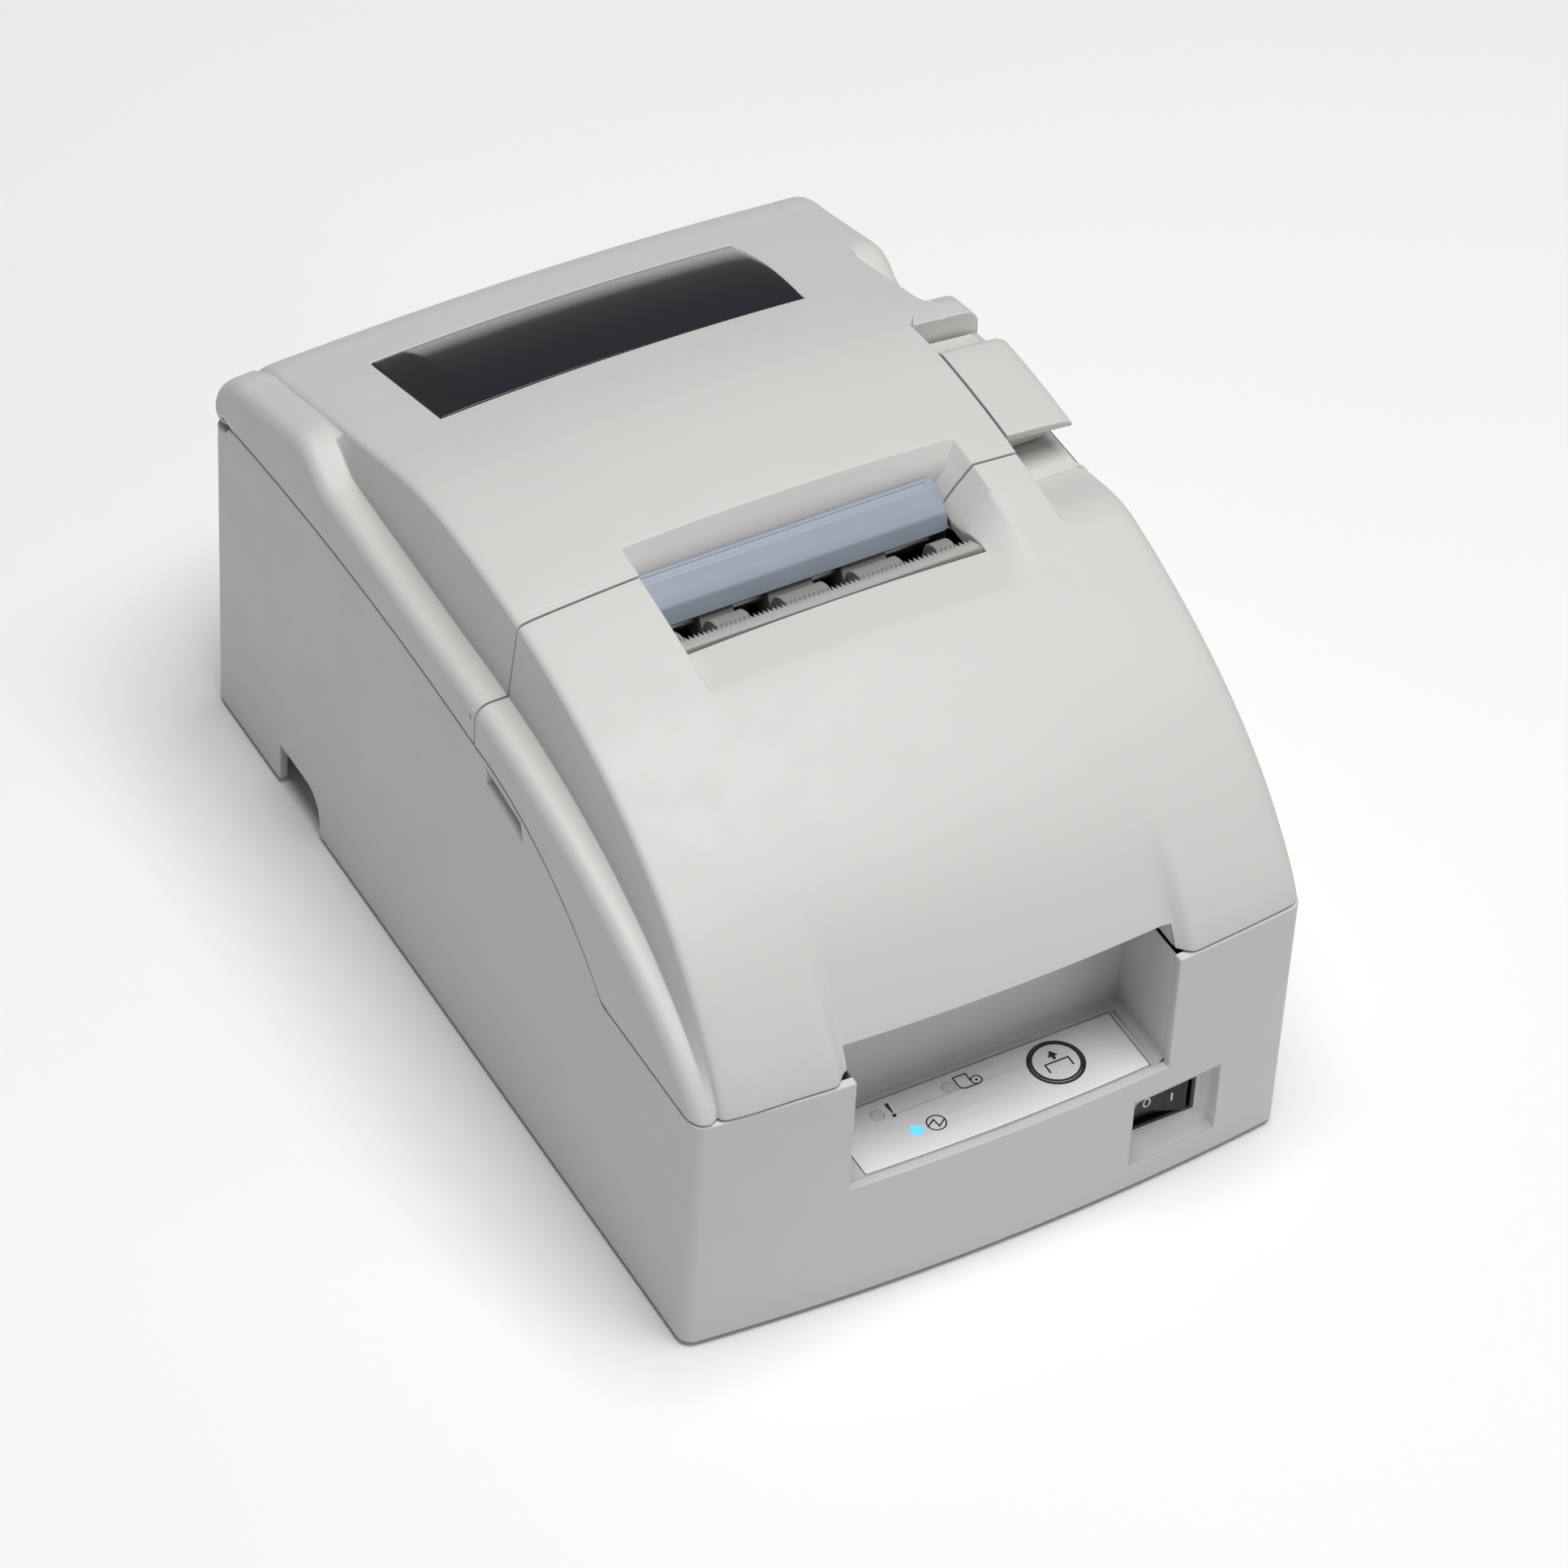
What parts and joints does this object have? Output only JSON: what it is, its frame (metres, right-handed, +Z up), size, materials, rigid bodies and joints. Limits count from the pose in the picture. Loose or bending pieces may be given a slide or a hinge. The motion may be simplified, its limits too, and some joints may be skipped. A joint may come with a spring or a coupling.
{
  "type": "dot matrix printer",
  "caption": "Desktop dot matrix receipt printer: bowed matt housing, curved front and rear covers, smoked roll window, open lever, toothed tear bar, recessed panel and working print mechanism.",
  "frame": {"origin": "middle of the footprint, on the surface that the feet stand on", "axes": "+X the right-hand side, -Y the front, +Z up"},
  "size_m": [0.16, 0.248, 0.1385],
  "materials": {
    "body_plastic": "fine matt texture",
    "inner_plastic": "satin",
    "smoked_window": "polished, smoked",
    "guide_plastic": "satin, blue-grey",
    "plate_silver": "satin",
    "button_grey": "satin",
    "light_lens": "clear lens",
    "black_plastic": "semi-gloss",
    "dark_plastic": "satin",
    "bay_plastic": "satin",
    "gear_plastic": "satin",
    "circuit_board": "solder mask",
    "ribbon_cloth": "inked cloth",
    "sheet_steel": "brushed",
    "motor_case": "satin",
    "brass_gear": "machined",
    "roller_rubber": "matt",
    "foot_rubber": "matt"
  },
  "bodies": {
    "case": {"lower_case": "body_plastic", "base_plate": "inner_plastic", "rubber_feet": "foot_rubber", "base_screws": "sheet_steel", "rear_hinge_ears": "body_plastic", "rear_hinge_pins": "sheet_steel", "front_hinge_brackets": "inner_plastic", "roll_bay": "bay_plastic", "latch_strike": "sheet_steel", "control_plate": "plate_silver", "panel_board": "circuit_board", "indicator_lights": "light_lens", "power_switch": "black_plastic", "side_frames": "sheet_steel", "mechanism_base": "sheet_steel", "tear_bar": "sheet_steel", "feed_motor": "motor_case", "carriage_shaft": "sheet_steel", "carriage_rail": "sheet_steel", "carriage_motor": "motor_case", "carriage_belt": "foot_rubber", "cassette_deck": "sheet_steel", "ribbon_cassette": "dark_plastic", "ribbon": "ribbon_cloth", "main_board": "circuit_board", "interface_board": "circuit_board", "power_inlet": "black_plastic", "data_socket": "sheet_steel", "drawer_socket": "black_plastic"},
    "rear_lid": {"rear_cover": "body_plastic", "window": "smoked_window", "rear_hinge_knuckles": "body_plastic", "guide_bar": "guide_plastic", "platen": "dark_plastic", "lever_pin": "sheet_steel", "lever_spring": "sheet_steel"},
    "lever": {"open_lever": "body_plastic", "latch_hook": "dark_plastic"},
    "front_lid": {"front_cover": "body_plastic", "front_hinge_pins": "sheet_steel"},
    "button": {"feed_button": "button_grey"},
    "rocker": {"power_rocker": "black_plastic"},
    "feed_drum": {"feed_roller": "roller_rubber", "feed_gear": "gear_plastic"},
    "idler_high": {"idler_gear_upper": "gear_plastic"},
    "idler_low": {"idler_gear_lower": "gear_plastic"},
    "pinion": {"feed_pinion": "brass_gear"},
    "pinch_drum": {"pinch_rollers": "roller_rubber"},
    "head_carriage": {"carriage": "dark_plastic", "print_head": "dark_plastic"},
    "belt_drive_wheel": {"drive_pulley": "brass_gear"},
    "belt_return_wheel": {"idler_pulley": "gear_plastic"},
    "knob": {"ribbon_knob": "button_grey"}
  },
  "joints": [
    {"name": "rear_cover_hinge", "type": "hinge", "parent": "case", "child": "rear_lid", "pos_m": [0, 0.12, 0.0965], "axis": [-1, 0, 0], "range_deg": [0, 75]},
    {"name": "open_lever_hinge", "type": "hinge", "parent": "rear_lid", "child": "lever", "pos_m": [0.07, 0.031, 0.1248], "axis": [-1, 0, 0], "range_deg": [0, 18], "stiffness_Nm_per_rad": 0.05, "springref_deg": -8.59},
    {"name": "front_cover_hinge", "type": "hinge", "parent": "case", "child": "front_lid", "pos_m": [0, -0.1125, 0.0803], "axis": [1, 0, 0], "range_deg": [0, 70]},
    {"name": "feed_button_press", "type": "slide", "parent": "case", "child": "button", "axis": [0, 0, -1], "range_m": [0, 0.0008], "stiffness_N_per_m": 400, "springref_m": -0.0005},
    {"name": "power_rocker_tilt", "type": "hinge", "parent": "case", "child": "rocker", "pos_m": [0.0464, -0.114, 0.0231], "axis": [0, 0, 1], "range_deg": [0, 16]},
    {"name": "feed_roller_turn", "type": "hinge", "parent": "case", "child": "feed_drum", "pos_m": [0, -0.0245, 0.1185], "axis": [1, 0, 0], "continuous": true},
    {"name": "upper_idler_turn", "type": "hinge", "parent": "case", "child": "idler_high", "pos_m": [-0.062, -0.02158, 0.09468], "axis": [1, 0, 0], "continuous": true},
    {"name": "lower_idler_turn", "type": "hinge", "parent": "case", "child": "idler_low", "pos_m": [-0.062, -0.01222, 0.06408], "axis": [1, 0, 0], "continuous": true},
    {"name": "pinion_turn", "type": "hinge", "parent": "case", "child": "pinion", "pos_m": [-0.062, -0.00443, 0.04479], "axis": [1, 0, 0], "continuous": true},
    {"name": "pinch_roller_turn", "type": "hinge", "parent": "rear_lid", "child": "pinch_drum", "pos_m": [0, -0.0135, 0.1175], "axis": [1, 0, 0], "continuous": true},
    {"name": "carriage_travel", "type": "slide", "parent": "case", "child": "head_carriage", "axis": [1, 0, 0], "range_m": [-0.031, 0.031]},
    {"name": "drive_pulley_turn", "type": "hinge", "parent": "case", "child": "belt_drive_wheel", "pos_m": [0.04, -0.078, 0.046], "axis": [0, 1, 0], "range_deg": [-300, 300]},
    {"name": "idler_pulley_turn", "type": "hinge", "parent": "case", "child": "belt_return_wheel", "pos_m": [-0.046, -0.078, 0.046], "axis": [0, 1, 0], "range_deg": [-300, 300]},
    {"name": "ribbon_knob_turn", "type": "hinge", "parent": "case", "child": "knob", "pos_m": [0.036, -0.07, 0.1], "axis": [0, 0, 1], "continuous": true}
  ],
  "couplings": [
    {"joint": "upper_idler_turn", "follows": "feed_roller_turn", "ratio": -0.5},
    {"joint": "lower_idler_turn", "follows": "feed_roller_turn", "ratio": 0.5},
    {"joint": "pinion_turn", "follows": "feed_roller_turn", "ratio": -1.6667},
    {"joint": "pinch_roller_turn", "follows": "feed_roller_turn", "ratio": -1.3333},
    {"joint": "drive_pulley_turn", "follows": "carriage_travel", "rad_per_m": 147.06},
    {"joint": "idler_pulley_turn", "follows": "carriage_travel", "rad_per_m": 147.06}
  ]
}
